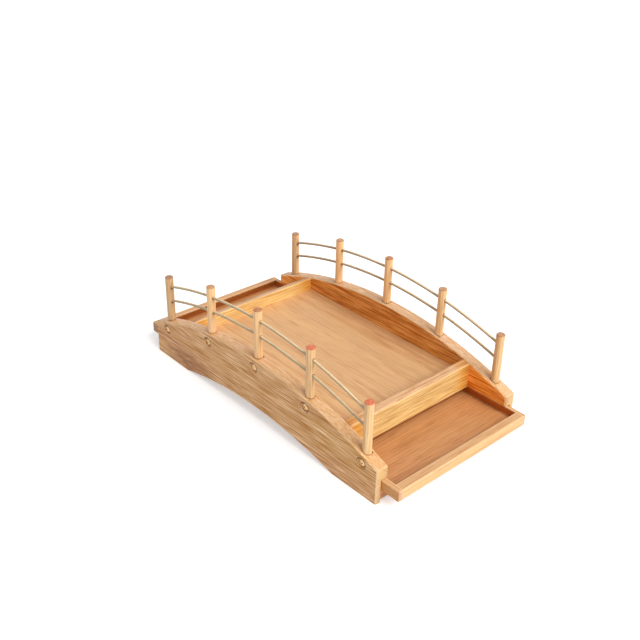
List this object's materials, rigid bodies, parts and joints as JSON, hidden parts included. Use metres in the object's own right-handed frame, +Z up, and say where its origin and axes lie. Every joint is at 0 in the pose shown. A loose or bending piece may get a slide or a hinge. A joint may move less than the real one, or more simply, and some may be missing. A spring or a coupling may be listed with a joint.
{
  "type": "sushi bridge",
  "caption": "Arched wooden sushi bridge with post-and-rod railings, a sunken serving deck and a shallow pull-out tray under each end.",
  "frame": {"origin": "on the ground, at the middle of the bridge", "axes": "+X along the bridge towards the right-hand tray, +Y towards the far side board, +Z up"},
  "size_m": [0.42, 0.206, 0.132],
  "materials": {
    "board_wood": "smooth sanded, clear satin",
    "deck_wood": "smooth sanded, clear satin",
    "cross_wood": "smooth sanded, clear satin",
    "dowel_wood": "smooth sanded, clear satin",
    "post_wood": "smooth sanded, clear satin",
    "rod_wood": "smooth sanded, clear satin",
    "tray_wood": "smooth sanded, clear satin",
    "floor_wood": "smooth sanded, clear satin",
    "screw_brass": "bright, slightly dulled"
  },
  "bodies": {
    "bridge": {"side_board_near": "board_wood", "side_board_far": "board_wood", "deck_panel": "deck_wood", "riser_left": "cross_wood", "riser_right": "cross_wood", "base_board_left": "cross_wood", "base_board_right": "cross_wood", "frame_dowels": "dowel_wood", "post_near_1": "post_wood", "post_near_2": "post_wood", "post_near_3": "post_wood", "post_near_4": "post_wood", "post_near_5": "post_wood", "post_far_1": "post_wood", "post_far_2": "post_wood", "post_far_3": "post_wood", "post_far_4": "post_wood", "post_far_5": "post_wood", "rail_rod_near_upper": "rod_wood", "rail_rod_near_lower": "rod_wood", "rail_rod_far_upper": "rod_wood", "rail_rod_far_lower": "rod_wood", "post_screws_near": "screw_brass", "post_screws_far": "screw_brass"},
    "tray_left": {"tray_left_front_rail": "tray_wood", "tray_left_back_rail": "tray_wood", "tray_left_side_near": "tray_wood", "tray_left_side_far": "tray_wood", "tray_left_floor": "floor_wood", "tray_left_dowels": "dowel_wood"},
    "tray_right": {"tray_right_front_rail": "tray_wood", "tray_right_back_rail": "tray_wood", "tray_right_side_near": "tray_wood", "tray_right_side_far": "tray_wood", "tray_right_floor": "floor_wood", "tray_right_dowels": "dowel_wood"}
  },
  "joints": [
    {"name": "tray_left_slide", "type": "slide", "parent": "bridge", "child": "tray_left", "axis": [-1, 0, 0], "range_m": [0, 0.055]},
    {"name": "tray_right_slide", "type": "slide", "parent": "bridge", "child": "tray_right", "axis": [1, 0, 0], "range_m": [0, 0.055]}
  ]
}
